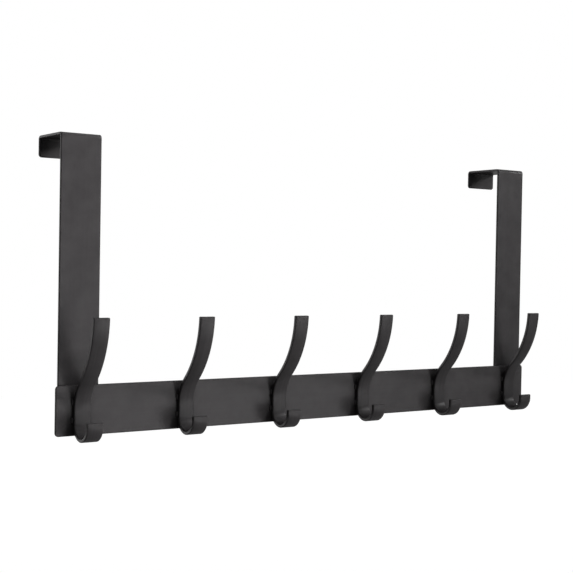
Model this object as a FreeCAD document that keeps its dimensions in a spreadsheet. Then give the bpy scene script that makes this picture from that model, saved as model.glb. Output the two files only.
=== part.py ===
import FreeCAD, Part
import math
import os
import re
import Sketcher

# Over door hook rack: a flat rail that carries six bent flat-bar hooks, welded in front of two
# flat straps that are folded over the top edge of a door.
#
# Frame: X along the rail, +Y into the door, +Z up. The origin is midway between the straps, where
# the door's top face (Z = 0) meets its front face (Y = 0). Sizes are in millimetres and degrees.

HOOK_COUNT = 6

SIZES = [
    ("rail_length", 500, "rail, end to end"),
    ("rail_height", 39, "rail, bottom edge to top edge"),
    ("rail_thickness", 2, "rail sheet"),
    ("rail_corner_radius", 3, "rail, the four corners of its outline"),
    ("strap_width", 34, "strap, side to side"),
    ("strap_thickness", 2, "strap sheet"),
    ("strap_inset", 2.5, "rail's end to the strap's outer side"),
    ("strap_foot", 2, "rail's bottom edge up to the strap's lower end, behind the rail"),
    ("bend_inner_radius", 1, "inside of both folds over the door"),
    ("door_gap", 39, "strap's leg to its lip, where the door sits"),
    ("lip_depth", 15, "lip, below the face that sits on the door"),
    ("lip_corner_radius", 2.5, "the two lower corners of the lip"),
    ("hang_height", 230, "door's top face down to the rail's bottom edge"),
    ("sheet_edge", 0.4, "broken edges of the rail and the straps"),
    ("hook_inset", 21, "rail's end to the middle of the end hook"),
    ("hook_width", 13.5, "hook bar, side to side"),
    ("hook_thickness", 3, "hook bar"),
    ("hook_edge", 0.5, "broken edges of the hook bar"),
    ("cradle_radius", 11.5, "middle line of the lower hook's bend"),
    ("cradle_tip", 3, "straight end of the lower hook"),
    ("land_foot", 9.5, "rail's bottom edge up to the lower end of the flat against the rail"),
    ("land_height", 9.5, "flat against the rail"),
    ("sweep_radius", 32, "middle line of the bend away from the rail"),
    ("sweep_angle", 45.5, "turn of that bend"),
    ("neck_radius", 74, "middle line of the bend back to upright"),
    ("tip_lean", 2, "what is left of the forward lean at the upper tip"),
    ("weld_leg", 1.6, "weld bead, out from its corner"),
    ("weld_length", 6, "weld bead, along its corner"),
    ("weld_taper", 1.2, "sloping end of a weld bead"),
    ("hook_weld_low", 12, "rail's bottom edge to the middle of the lower hook weld"),
    ("hook_weld_step", 14, "lower hook weld to the upper one"),
    ("strap_weld_margin", 9, "rail's edge to the middle of the nearest strap weld"),
]
ALIASES = {alias for alias, _, _ in SIZES}

# places that more than one piece uses
STRAP_MIDDLE = "(rail_length / 2 - strap_inset - strap_width / 2)"
END_HOOK = "(rail_length / 2 - hook_inset)"
RAIL_FRONT = "-(strap_thickness + rail_thickness)"

X_AXIS = FreeCAD.Vector(1, 0, 0)
Z_AXIS = FreeCAD.Vector(0, 0, 1)
START, END = range(1, 3)  # the numbers that constraints give the two ends of a line or an arc
SKETCH_ORIGIN = (-1, START)
TINY = 1e-6


def make_sheet():
    """The driving sizes, one row each: name, value, what it measures."""
    sheet = doc.addObject("Spreadsheet::Sheet", "sizes")
    for row, (alias, value, note) in enumerate(SIZES, start=1):
        sheet.set(f"A{row}", alias)
        sheet.set(f"B{row}", str(value))
        sheet.setAlias(f"B{row}", alias)
        sheet.set(f"C{row}", note)
    doc.recompute()
    return sheet


def size(alias):
    return float(getattr(sizes, alias))


def from_sheet(expression):
    """Writes each alias in an expression as a reference to the sheet."""

    def refer(word):
        name = word.group()
        return f"sizes.{name}" if name in ALIASES else name

    return re.sub("[a-z_]+", refer, expression)


def bind(thing, expressions):
    """Ties properties to the sheet: bind(pad, {"Length": "rail_height"})."""
    for path, expression in expressions.items():
        thing.setExpression(path, from_sheet(expression))


def add_body(label):
    body = doc.addObject("PartDesign::Body", label)
    body.Label = label
    return body


def origin_feature(body, role):
    """One of the body's own origin planes or axes, in the form that a feature refers to."""
    feature = [item for item in body.Origin.OriginFeatures if item.Role == role][0]
    return (feature, [""])


def add_sketch(body, name, plane):
    sketch = body.newObject("Sketcher::SketchObject", f"{body.Name}_{name}")
    sketch.AttachmentSupport = origin_feature(body, plane)
    sketch.MapMode = "FlatFace"
    return sketch


def add_line(sketch, start, end):
    segment = Part.LineSegment(FreeCAD.Vector(*start, 0), FreeCAD.Vector(*end, 0))
    return sketch.addGeometry(segment)


def add_arc(sketch, centre, radius, start_angle, end_angle):
    """An arc that runs counter-clockwise from one angle to the other, in degrees."""
    circle = Part.Circle(FreeCAD.Vector(*centre, 0), Z_AXIS, radius)
    arc = Part.ArcOfCircle(circle, math.radians(start_angle), math.radians(end_angle))
    return sketch.addGeometry(arc)


def hold(sketch, kind, *where):
    """A constraint with no size of its own."""
    sketch.addConstraint(Sketcher.Constraint(kind, *where))


def drive(sketch, name, kind, where, value, expression):
    """A constraint whose size follows the sheet. The value is what it is as drawn."""
    index = sketch.addConstraint(Sketcher.Constraint(kind, *where, value))
    sketch.renameConstraint(index, name)
    bind(sketch, {f"Constraints.{name}": expression})


def draw_closed(sketch, corners):
    """Straight lines round the corners, each joined to the next."""
    count = len(corners)
    lines = [add_line(sketch, corners[i], corners[(i + 1) % count]) for i in range(count)]
    for i in range(count):
        hold(sketch, "Coincident", lines[i], END, lines[(i + 1) % count], START)
    return lines


def draw_rectangle(sketch, width, height):
    """A rectangle centred on the sketch's origin, from the names of its two sizes."""
    x, y = size(width) / 2, size(height) / 2
    low, right, high, left = draw_closed(sketch, [(-x, -y), (x, -y), (x, y), (-x, y)])
    for line in (low, high):
        hold(sketch, "Horizontal", line)
    for line in (right, left):
        hold(sketch, "Vertical", line)
    hold(sketch, "Symmetric", low, START, high, START, *SKETCH_ORIGIN)
    drive(sketch, "width", "DistanceX", (low, START, low, END), 2 * x, width)
    drive(sketch, "height", "DistanceY", (right, START, right, END), 2 * y, height)


def edge_names(shape, test):
    """Names of the straight edges whose two ends pass the test."""
    names = []
    for index, edge in enumerate(shape.Edges, start=1):
        ends = [vertex.Point for vertex in edge.Vertexes]
        if isinstance(edge.Curve, Part.Line) and test(*ends):
            names.append(f"Edge{index}")
    return names


def runs_along_y(start, end):
    return math.hypot(start.x - end.x, start.z - end.z) < TINY


def round_edges(body, base, names, radius):
    fillet = body.newObject("PartDesign::Fillet", f"{body.Name}_corners")
    fillet.Base = (base, names)
    bind(fillet, {"Radius": radius})
    doc.recompute()
    return fillet


def break_edges(body, base, width):
    """A small bevel along every sharp edge, as on deburred sheet and rolled bar."""
    chamfer = body.newObject("PartDesign::Chamfer", f"{body.Name}_broken_edges")
    chamfer.Base = (base, [""])
    chamfer.UseAllEdges = True
    bind(chamfer, {"Size": width})
    doc.recompute()


def sweep_bar(body, path, width, thickness, start):
    """Carries a flat section along a path in the bar's middle plane. Start holds where the path
    begins, Y then Z, and the path sets out along Z."""
    section = add_sketch(body, "section", "XY_Plane")
    draw_rectangle(section, width, thickness)
    bind(section, {"AttachmentOffset.Base.y": start[0], "AttachmentOffset.Base.z": start[1]})
    doc.recompute()
    bar = body.newObject("PartDesign::AdditivePipe", f"{body.Name}_bar")
    bar.Profile = (section, [""])
    bar.Spine = (path, [""])
    bar.Mode = "Binormal"
    bar.Binormal = X_AXIS
    doc.recompute()
    return bar


def make_rail():
    """A flat plate with rounded corners; its back face lies on the straps."""
    body = add_body("rail")
    outline = add_sketch(body, "outline", "XZ_Plane")
    draw_rectangle(outline, "rail_length", "rail_height")
    plate = body.newObject("PartDesign::Pad", "rail_plate")
    plate.Profile = outline
    bind(plate, {"Length": "rail_thickness"})
    doc.recompute()
    corners = edge_names(plate.Shape, runs_along_y)
    rounded = round_edges(body, plate, corners, "rail_corner_radius")
    break_edges(body, rounded, "sheet_edge")
    bind(
        body,
        {
            "Placement.Base.y": "-strap_thickness",
            "Placement.Base.z": "rail_height / 2 - hang_height",
        },
    )
    return body


def draw_strap_path(path):
    """The middle line of the strap: up the leg, back over the door and down into the lip."""
    half = size("strap_thickness") / 2
    inner = size("bend_inner_radius")
    gap = size("door_gap")
    depth = size("lip_depth")
    drop = size("hang_height") - size("strap_foot")
    leg = add_line(path, (-half, -drop), (-half, -inner))
    front_bend = add_arc(path, (inner, -inner), inner + half, 90, 180)
    seat = add_line(path, (inner, half), (gap - inner, half))
    back_bend = add_arc(path, (gap - inner, -inner), inner + half, 0, 90)
    lip = add_line(path, (gap + half, -inner), (gap + half, -depth))
    hold(path, "Tangent", leg, END, front_bend, END)
    hold(path, "Tangent", front_bend, START, seat, START)
    hold(path, "Tangent", seat, END, back_bend, END)
    hold(path, "Tangent", back_bend, START, lip, START)
    hold(path, "Vertical", leg)
    hold(path, "Horizontal", seat)
    hold(path, "Vertical", lip)
    middle = "strap_thickness / 2"
    for name, bend in (("front_bend", front_bend), ("back_bend", back_bend)):
        drive(path, name, "Radius", (bend,), inner + half, f"bend_inner_radius + {middle}")
    drive(path, "leg_out", "DistanceX", (leg, START, *SKETCH_ORIGIN), half, middle)
    drive(path, "leg_down", "DistanceY", (leg, START, *SKETCH_ORIGIN), drop, "hang_height - strap_foot")
    drive(path, "seat_up", "DistanceY", (*SKETCH_ORIGIN, seat, START), half, middle)
    drive(path, "lip_back", "DistanceX", (*SKETCH_ORIGIN, lip, END), gap + half, f"door_gap + {middle}")
    drive(path, "lip_down", "DistanceY", (lip, END, *SKETCH_ORIGIN), depth, "lip_depth")


def make_strap(label, side):
    """A flat strip folded over the door; side is -1 for the left strap and 1 for the right."""
    body = add_body(label)
    path = add_sketch(body, "path", "YZ_Plane")
    draw_strap_path(path)
    start = ("-strap_thickness / 2", "strap_foot - hang_height")
    strip = sweep_bar(body, path, "strap_width", "strap_thickness", start)

    def at_lip_end(start, end):
        behind = min(start.y, end.y) > 0
        low = max(start.z, end.z) < TINY - size("lip_depth")
        return behind and low and runs_along_y(start, end)

    rounded = round_edges(body, strip, edge_names(strip.Shape, at_lip_end), "lip_corner_radius")
    break_edges(body, rounded, "sheet_edge")
    bind(body, {"Placement.Base.x": f"{side} * {STRAP_MIDDLE}"})
    return body


def draw_hook_path(path):
    """The middle line of the hook bar, seen from the side: up from the lower tip, round the
    cradle, along the flat on the rail, out in the sweep and back to upright in the neck."""
    half = size("hook_thickness") / 2
    cradle, sweep, neck = size("cradle_radius"), size("sweep_radius"), size("neck_radius")
    angle, lean = size("sweep_angle"), size("tip_lean")
    foot, height, tip_height = size("land_foot"), size("land_height"), size("cradle_tip")
    top = foot + height
    front = -half - 2 * cradle
    neck_y = -half - sweep + (sweep + neck) * math.cos(math.radians(angle))
    neck_z = top + (sweep + neck) * math.sin(math.radians(angle))
    tip = add_line(path, (front, foot + tip_height), (front, foot))
    bowl = add_arc(path, (-half - cradle, foot), cradle, 180, 360)
    land = add_line(path, (-half, foot), (-half, top))
    lower = add_arc(path, (-half - sweep, top), sweep, 0, angle)
    upper = add_arc(path, (neck_y, neck_z), neck, 180 + lean, 180 + angle)
    hold(path, "Tangent", tip, END, bowl, START)
    hold(path, "Tangent", bowl, END, land, START)
    hold(path, "Tangent", land, END, lower, START)
    hold(path, "Tangent", lower, END, upper, END)
    hold(path, "Vertical", tip)
    hold(path, "Vertical", land)
    drive(path, "land_out", "DistanceX", (land, START, *SKETCH_ORIGIN), half, "hook_thickness / 2")
    drive(path, "land_foot", "DistanceY", (*SKETCH_ORIGIN, land, START), foot, "land_foot")
    drive(path, "land_height", "DistanceY", (land, START, land, END), height, "land_height")
    drive(path, "cradle_radius", "Radius", (bowl,), cradle, "cradle_radius")
    drive(path, "cradle_tip", "DistanceY", (tip, END, tip, START), tip_height, "cradle_tip")
    drive(path, "sweep_radius", "Radius", (lower,), sweep, "sweep_radius")
    drive(path, "neck_radius", "Radius", (upper,), neck, "neck_radius")
    turn_out, turn_back = math.radians(angle), math.radians(angle - lean)
    drive(path, "turn_out", "Angle", (lower,), turn_out, "sweep_angle * 1 deg")
    drive(path, "turn_back", "Angle", (upper,), turn_back, "(sweep_angle - tip_lean) * 1 deg")


def make_hook(number):
    """One hook, bent from flat bar. The left one is number 1, and the rest follow evenly."""
    body = add_body(f"hook_{number}")
    path = add_sketch(body, "path", "YZ_Plane")
    draw_hook_path(path)
    start = ("-hook_thickness / 2 - 2 * cradle_radius", "land_foot + cradle_tip")
    bar = sweep_bar(body, path, "hook_width", "hook_thickness", start)
    break_edges(body, bar, "hook_edge")
    share = f"(2 * {number - 1} / {HOOK_COUNT - 1} - 1)"
    bind(
        body,
        {
            "Placement.Base.x": f"{share} * {END_HOOK}",
            "Placement.Base.y": RAIL_FRONT,
            "Placement.Base.z": "-hang_height",
        },
    )
    return body


def make_bead(body, corner_x, behind):
    """One weld bead: a quarter-round fillet with sloping ends, about a vertical corner line that
    lies corner_x to the right. It fills the corner's back side if behind, or else its front."""
    profile = add_sketch(body, "profile", "XZ_Plane")
    bind(profile, {"AttachmentOffset.Base.x": corner_x})
    half, leg, taper = size("weld_length") / 2, size("weld_leg"), size("weld_taper")
    corners = [(0, half), (0, -half), (leg, taper - half), (leg, half - taper)]
    back, low, side, high = draw_closed(profile, corners)
    hold(profile, "Vertical", back)
    hold(profile, "Vertical", side)
    hold(profile, "Symmetric", back, START, back, END, *SKETCH_ORIGIN)
    hold(profile, "Equal", low, high)
    drive(profile, "length", "DistanceY", (back, END, back, START), 2 * half, "weld_length")
    drive(profile, "leg", "DistanceX", (low, START, low, END), leg, "weld_leg")
    drive(profile, "taper", "DistanceY", (low, START, low, END), taper, "weld_taper")
    bead = body.newObject("PartDesign::Revolution", f"{body.Name}_bead")
    bead.Profile = (profile, [""])
    bead.ReferenceAxis = (profile, ["V_Axis"])
    bead.Angle = 90
    bead.Reversed = not behind
    doc.recompute()
    return bead


def add_row(body, axis, count, length):
    """A linear pattern along one of the body's axes, for use within a multiple transform."""
    row = body.newObject("PartDesign::LinearPattern", f"{body.Name}_along_{axis.lower()}")
    row.Direction = origin_feature(body, f"{axis}_Axis")
    row.Occurrences = count
    bind(row, {"Length": length})
    return row


def spread_beads(body, bead, rise, count, reach):
    """Repeats a bead on the other side of its bar, once more above, and at each further bar."""
    beads = body.newObject("PartDesign::MultiTransform", f"{body.Name}_beads")
    beads.Originals = [bead]
    sides = body.newObject("PartDesign::Mirrored", f"{body.Name}_sides")
    sides.MirrorPlane = origin_feature(body, "YZ_Plane")
    beads.Transformations = [sides, add_row(body, "Z", 2, rise), add_row(body, "X", count, reach)]
    body.Tip = beads


def make_hook_welds():
    """Two beads down each side of every hook, in the corners with the rail's front face."""
    body = add_body("hook_welds")
    bead = make_bead(body, "hook_width / 2", behind=False)
    spread_beads(body, bead, "hook_weld_step", HOOK_COUNT, f"2 * {END_HOOK}")
    bind(
        body,
        {
            "Placement.Base.x": f"-{END_HOOK}",
            "Placement.Base.y": RAIL_FRONT,
            "Placement.Base.z": "hook_weld_low - hang_height",
        },
    )
    return body


def make_strap_welds():
    """Two beads down each side of both straps, in the corners with the rail's back face."""
    body = add_body("strap_welds")
    bead = make_bead(body, "strap_width / 2", behind=True)
    spread_beads(body, bead, "rail_height - 2 * strap_weld_margin", 2, f"2 * {STRAP_MIDDLE}")
    bind(
        body,
        {
            "Placement.Base.x": f"-{STRAP_MIDDLE}",
            "Placement.Base.y": "-strap_thickness",
            "Placement.Base.z": "strap_weld_margin - hang_height",
        },
    )
    return body


def check(nodes):
    """Stops if anything in the document failed, or a sub-part isn't a valid solid."""
    for item in doc.Objects:
        if "Invalid" in item.State or "Error" in item.State:
            raise RuntimeError(f"{item.Name} failed: {item.State}")
    for node in nodes:
        shape = node.Shape
        if shape.isNull() or not shape.isValid() or not shape.Solids:
            raise RuntimeError(f"{node.Label} has no valid solid")


doc = FreeCAD.newDocument("over_door_hook")
sizes = make_sheet()
nodes = [make_rail(), make_strap("strap_left", -1), make_strap("strap_right", 1)]
nodes += [make_hook(number) for number in range(1, HOOK_COUNT + 1)]
nodes += [make_hook_welds(), make_strap_welds()]
doc.recompute()
check(nodes)

os.makedirs("parts", exist_ok=True)
for node in nodes:
    node.Shape.exportStep(f"parts/{node.Label}.step")
    volume = sum(solid.Volume for solid in node.Shape.Solids)
    print(f"{node.Label}: {len(node.Shape.Solids)} solids, {volume:.1f} mm3")
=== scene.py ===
import math
import bpy
from mathutils import Matrix, Vector

# The looks of the over door hook rack: charcoal powder coat over welded sheet and flat bar, in a
# plain white studio. Lengths are in metres and angles in degrees unless a name says otherwise.

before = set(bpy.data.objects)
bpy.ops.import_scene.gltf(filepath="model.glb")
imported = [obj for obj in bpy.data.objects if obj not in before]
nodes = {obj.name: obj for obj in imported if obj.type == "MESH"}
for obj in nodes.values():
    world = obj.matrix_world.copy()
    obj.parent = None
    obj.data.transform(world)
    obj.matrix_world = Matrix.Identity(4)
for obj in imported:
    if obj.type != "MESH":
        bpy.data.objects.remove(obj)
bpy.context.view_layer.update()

MM = 0.001
WHITE = (1, 1, 1, 1)

# the camera, as worked out from the photograph's straight edges
PHOTO_SIZE = 573
CAMERA_PLACE = Vector((-622.67, -840.22, -98.27)) * MM
CAMERA_YAW = 35.01
CAMERA_PITCH = -1.082
CAMERA_ROLL = 1.002
FOCAL_PIXELS = 1189
CENTRE_X = 287.98
CENTRE_Y = 290.11
SENSOR_WIDTH_MM = 36
CLIP_START = 0.01
CLIP_END = 100

# the studio: lamps stand round the rack's middle, and the floor lies well below it
MIDDLE = Vector((0, 0, -0.12))
WORLD_LIGHT = 0.2
FLOOR_DROP = 2.0
FLOOR_SIZE = 30
FLOOR_GREY = (0.35, 0.35, 0.35, 1)
FLOOR_ROUGHNESS = 0.8
FLOOR_GLOW = 0.88

# the edges of the steel
WELDED_GAP = 0.001 * MM
FLAT_ANGLE = 0.5
BEVEL_ANGLE = 25
BEVEL_WIDTH = 0.15 * MM
BEVEL_SEGMENTS = 3

# the coat's tone, lighter and darker in patches
CLOUD_PER_METRE = 28
SMUDGE_PER_METRE = 85
STREAK_PER_METRE = 550
NOISE_ROUGHNESS = 0.55
SMUDGE_SHARE = 0.45
TONE_SPAN = (0.38, 0.62)
DARK_TONE = (0.0361, 0.0337, 0.0349, 1)
LIGHT_TONE = (0.049, 0.0458, 0.0473, 1)

# painted shade: the coat is darkened where its ambient occlusion finds corners and hollows, such
# as the insides of the hooks and the rail beside them, to come nearer to the photo's greys; the
# coat is darkened in corners to come nearer to the photo's greys; that a thinner film there is
# the cause is a guess
CORNER_REACH = 25 * MM
CORNER_SAMPLES = 8
CORNER_SPAN = (0.55, 0.97)
CORNER_SHADE = 0.45

# the gloss, set low to match the photo, and lower still at a low angle, where the lamps glared
PATCH_SPAN = (0.3, 0.7)
ROUGHNESS = (0.32, 0.42)
SLANT_SPAN = (0.3, 0.75)
GLOSS = (0.06, 0.005)
PLAIN_GLOSS = 0.05

# the skin: orange peel, a finer grain, and a film that draws round the edges as it melts
PEEL_PER_METRE = 900
GRAIN_PER_METRE = 3200
GRAIN_SHARE = 0.35
STREAK_SHARE = 0.25
BUMP_STRENGTH = 0.25
BUMP_HEIGHT = 0.2 * MM
EDGE_FILM = 1.1 * MM
EDGE_SAMPLES = 6

# streaks are drawn out the way the steel was rolled
EVEN = (1, 1, 1)
ALONG_RAIL = (0.03, 1, 1)
ALONG_STRIP = (1, 0.03, 0.03)


def make_camera():
    data = bpy.data.cameras.new("camera")
    camera = bpy.data.objects.new("camera", data)
    bpy.context.scene.collection.objects.link(camera)
    yaw, pitch, roll = (math.radians(v) for v in (CAMERA_YAW, CAMERA_PITCH, CAMERA_ROLL))
    ahead, aside = math.cos(yaw) * math.cos(pitch), math.sin(yaw) * math.cos(pitch)
    look = Vector((aside, ahead, math.sin(pitch)))
    level = Vector((math.cos(yaw), -math.sin(yaw), 0))
    upright = level.cross(look)
    right = math.cos(roll) * level + math.sin(roll) * upright
    up = math.cos(roll) * upright - math.sin(roll) * level
    turn = Matrix((right, up, -look)).transposed().to_4x4()
    camera.matrix_world = Matrix.Translation(CAMERA_PLACE) @ turn
    data.sensor_width = SENSOR_WIDTH_MM
    data.lens = FOCAL_PIXELS * SENSOR_WIDTH_MM / PHOTO_SIZE
    data.shift_x = (PHOTO_SIZE / 2 - CENTRE_X) / PHOTO_SIZE
    data.shift_y = (CENTRE_Y - PHOTO_SIZE / 2) / PHOTO_SIZE
    data.clip_start = CLIP_START
    data.clip_end = CLIP_END
    bpy.context.scene.camera = camera


def add_node(tree, kind, **inputs):
    node = tree.nodes.new(kind)
    for name, value in inputs.items():
        node.inputs[name.replace("_", " ")].default_value = value
    return node


def add_noise(tree, place, scale, detail, stretch=EVEN):
    """A noise of the given scale per metre, drawn out where a stretch is below one."""
    mapping = add_node(tree, "ShaderNodeMapping", Scale=stretch)
    tree.links.new(place.outputs["Object"], mapping.inputs["Vector"])
    noise = add_node(
        tree, "ShaderNodeTexNoise", Scale=scale, Detail=detail, Roughness=NOISE_ROUGHNESS)
    tree.links.new(mapping.outputs["Vector"], noise.inputs["Vector"])
    return noise.outputs["Fac"]


def add_mix(tree, share, first, second):
    """The first number, with the given share of the second in its place."""
    mix = tree.nodes.new("ShaderNodeMix")
    mix.data_type = "FLOAT"
    mix.inputs["Factor"].default_value = share
    tree.links.new(first, mix.inputs["A"])
    tree.links.new(second, mix.inputs["B"])
    return mix.outputs["Result"]


def add_range(tree, value, source, target):
    """The number carried over from the source's span to the target's."""
    node = add_node(
        tree, "ShaderNodeMapRange",
        From_Min=source[0], From_Max=source[1], To_Min=target[0], To_Max=target[1])
    tree.links.new(value, node.inputs["Value"])
    return node.outputs["Result"]


def add_tone(tree, patchy, shade):
    """Charcoal, lighter and darker in patches, with painted light and shade: scaled by shade,
    darker in corners.
    """
    tone = tree.nodes.new("ShaderNodeValToRGB")
    for element, position, colour in zip(
            tone.color_ramp.elements, TONE_SPAN, (DARK_TONE, LIGHT_TONE)):
        element.position = position
        element.color = colour
    tree.links.new(patchy, tone.inputs["Fac"])
    # painted shade in corners from ambient occlusion, and painted light and shade from the shade
    # scale
    corner = add_node(tree, "ShaderNodeAmbientOcclusion", Distance=CORNER_REACH)
    corner.samples = CORNER_SAMPLES
    painted_shade = add_range(tree, corner.outputs["AO"], CORNER_SPAN, (CORNER_SHADE * shade, shade))
    shaded_tone = tree.nodes.new("ShaderNodeVectorMath")
    shaded_tone.operation = "SCALE"
    tree.links.new(tone.outputs["Color"], shaded_tone.inputs["Vector"])
    tree.links.new(painted_shade, shaded_tone.inputs["Scale"])
    return shaded_tone.outputs["Vector"]


def add_skin(tree, place, streak):
    """The normal of orange peel and grain over edges that the film rounds."""
    peel = add_noise(tree, place, PEEL_PER_METRE, 2)
    grain = add_noise(tree, place, GRAIN_PER_METRE, 1)
    skin = add_mix(tree, GRAIN_SHARE, peel, grain)
    skin = add_mix(tree, STREAK_SHARE, skin, streak)
    rounded = add_node(tree, "ShaderNodeBevel", Radius=EDGE_FILM)
    rounded.samples = EDGE_SAMPLES
    bump = add_node(tree, "ShaderNodeBump", Strength=BUMP_STRENGTH, Distance=BUMP_HEIGHT)
    tree.links.new(rounded.outputs["Normal"], bump.inputs["Normal"])
    tree.links.new(skin, bump.inputs["Height"])
    return bump.outputs["Normal"]


def make_powder_coat(name, shade, stretch, streaks):
    """Satin charcoal powder coat, with faint streaks drawn out the way the steel was rolled."""
    material = bpy.data.materials.new(name)
    material.use_nodes = True
    tree = material.node_tree
    shader = tree.nodes["Principled BSDF"]
    shader.inputs["Metallic"].default_value = 0
    # a plain value under the link that is made into this socket below; for the export,
    # which drops the link into this socket
    shader.inputs["Specular IOR Level"].default_value = PLAIN_GLOSS
    place = tree.nodes.new("ShaderNodeTexCoord")

    cloud = add_noise(tree, place, CLOUD_PER_METRE, 4)
    smudge = add_noise(tree, place, SMUDGE_PER_METRE, 3)
    streak = add_noise(tree, place, STREAK_PER_METRE, 3, stretch)
    patchy = add_mix(tree, SMUDGE_SHARE, cloud, smudge)
    patchy = add_mix(tree, streaks, patchy, streak)
    slant = add_node(tree, "ShaderNodeLayerWeight", Blend=0.5)

    looks = {
        "Base Color": add_tone(tree, patchy, shade),
        "Roughness": add_range(tree, patchy, PATCH_SPAN, ROUGHNESS),
        "Specular IOR Level": add_range(tree, slant.outputs["Facing"], SLANT_SPAN, GLOSS),
        "Normal": add_skin(tree, place, streak),
    }
    for socket, output in looks.items():
        tree.links.new(output, shader.inputs[socket])
    return material


def dress(node, material):
    node.data.materials.clear()
    node.data.materials.append(material)


def soften(node):
    """Joins the mesh's faces and rounds its edges, which the CAD leaves sharp."""
    weld = node.modifiers.new("weld", "WELD")
    weld.merge_threshold = WELDED_GAP
    flat = node.modifiers.new("flat", "DECIMATE")
    flat.decimate_type = "DISSOLVE"
    flat.angle_limit = math.radians(FLAT_ANGLE)
    bevel = node.modifiers.new("bevel", "BEVEL")
    bevel.width = BEVEL_WIDTH
    bevel.segments = BEVEL_SEGMENTS
    bevel.limit_method = "ANGLE"
    bevel.angle_limit = math.radians(BEVEL_ANGLE)
    bevel.harden_normals = True


def make_light(name, azimuth, height, distance, target, size, spread, watts):
    """A softbox with a grid, placed by its angles about the rack's middle.

    The azimuth counts from the rack's front towards its right."""
    turn, rise = math.radians(azimuth), math.radians(height)
    aside, ahead = math.sin(turn) * math.cos(rise), math.cos(turn) * math.cos(rise)
    place = MIDDLE + distance * Vector((aside, -ahead, math.sin(rise)))
    data = bpy.data.lights.new(name, "AREA")
    data.shape = "SQUARE"
    data.size = size
    data.spread = math.radians(spread)
    data.energy = watts
    light = bpy.data.objects.new(name, data)
    bpy.context.scene.collection.objects.link(light)
    light.location = place
    light.rotation_euler = (Vector(target) - place).to_track_quat("-Z", "Y").to_euler()


def seen_rays(tree):
    """One where a ray comes from the camera, a reflection or a clear material, or else zero."""
    path = tree.nodes.new("ShaderNodeLightPath")
    total = path.outputs["Is Camera Ray"]
    for name in ("Is Glossy Ray", "Is Transmission Ray"):
        add = tree.nodes.new("ShaderNodeMath")
        add.operation = "MAXIMUM"
        tree.links.new(total, add.inputs[0])
        tree.links.new(path.outputs[name], add.inputs[1])
        total = add.outputs[0]
    return total


def make_world():
    """White where it is seen, and a weak even light on the rack."""
    world = bpy.data.worlds.new("white_studio")
    world.use_nodes = True
    tree = world.node_tree
    background = tree.nodes["Background"]
    background.inputs["Color"].default_value = WHITE
    strength = add_range(tree, seen_rays(tree), (0, 1), (WORLD_LIGHT, 1))
    tree.links.new(strength, background.inputs["Strength"])
    bpy.context.scene.world = world


def make_floor():
    """A floor that is grey for the light it throws back and white where it is seen."""
    bpy.ops.mesh.primitive_plane_add(size=FLOOR_SIZE, location=(0, 0, -FLOOR_DROP))
    floor = bpy.context.object
    floor.name = "floor"
    material = bpy.data.materials.new("pale_floor")
    material.use_nodes = True
    tree = material.node_tree
    shader = tree.nodes["Principled BSDF"]
    shader.inputs["Base Color"].default_value = FLOOR_GREY
    shader.inputs["Roughness"].default_value = FLOOR_ROUGHNESS
    shader.inputs["Emission Color"].default_value = WHITE
    glow = add_range(tree, seen_rays(tree), (0, 1), (0, FLOOR_GLOW))
    tree.links.new(glow, shader.inputs["Emission Strength"])
    floor.data.materials.append(material)


make_camera()
# one coat on the real rack: the shades 0.9, 1 and 1.09 are painted shade on the bars and painted
# light on the rail, fitted to the photo's greys to make up for what the lamps miss; the beads
# wear the coat of the steel beside them
coats = {
    "hook": make_powder_coat("powder_coat_bar", 0.9, ALONG_STRIP, 0.4),
    "strap": make_powder_coat("powder_coat_strap", 1, ALONG_STRIP, 0.12),
    "rail": make_powder_coat("powder_coat_rail", 1.09, ALONG_RAIL, 0.12),
}
for name, node in nodes.items():
    dress(node, coats[name.split("_")[0]])
    soften(node)

make_world()
make_floor()
make_light("key", azimuth=58, height=26, distance=2.5, target=(-0.6, 0, 0.02),
           size=0.75, spread=26, watts=4.6)
make_light("front", azimuth=25, height=-8, distance=2.4, target=(-0.35, 0, 0.05),
           size=1.2, spread=30, watts=2.1)
make_light("top", azimuth=27, height=62, distance=2.0, target=MIDDLE,
           size=0.8, spread=180, watts=2.5)
make_light("rim", azimuth=-145, height=0, distance=1.5, target=MIDDLE,
           size=1.0, spread=180, watts=16)
bpy.context.scene.view_settings.view_transform = "Standard"
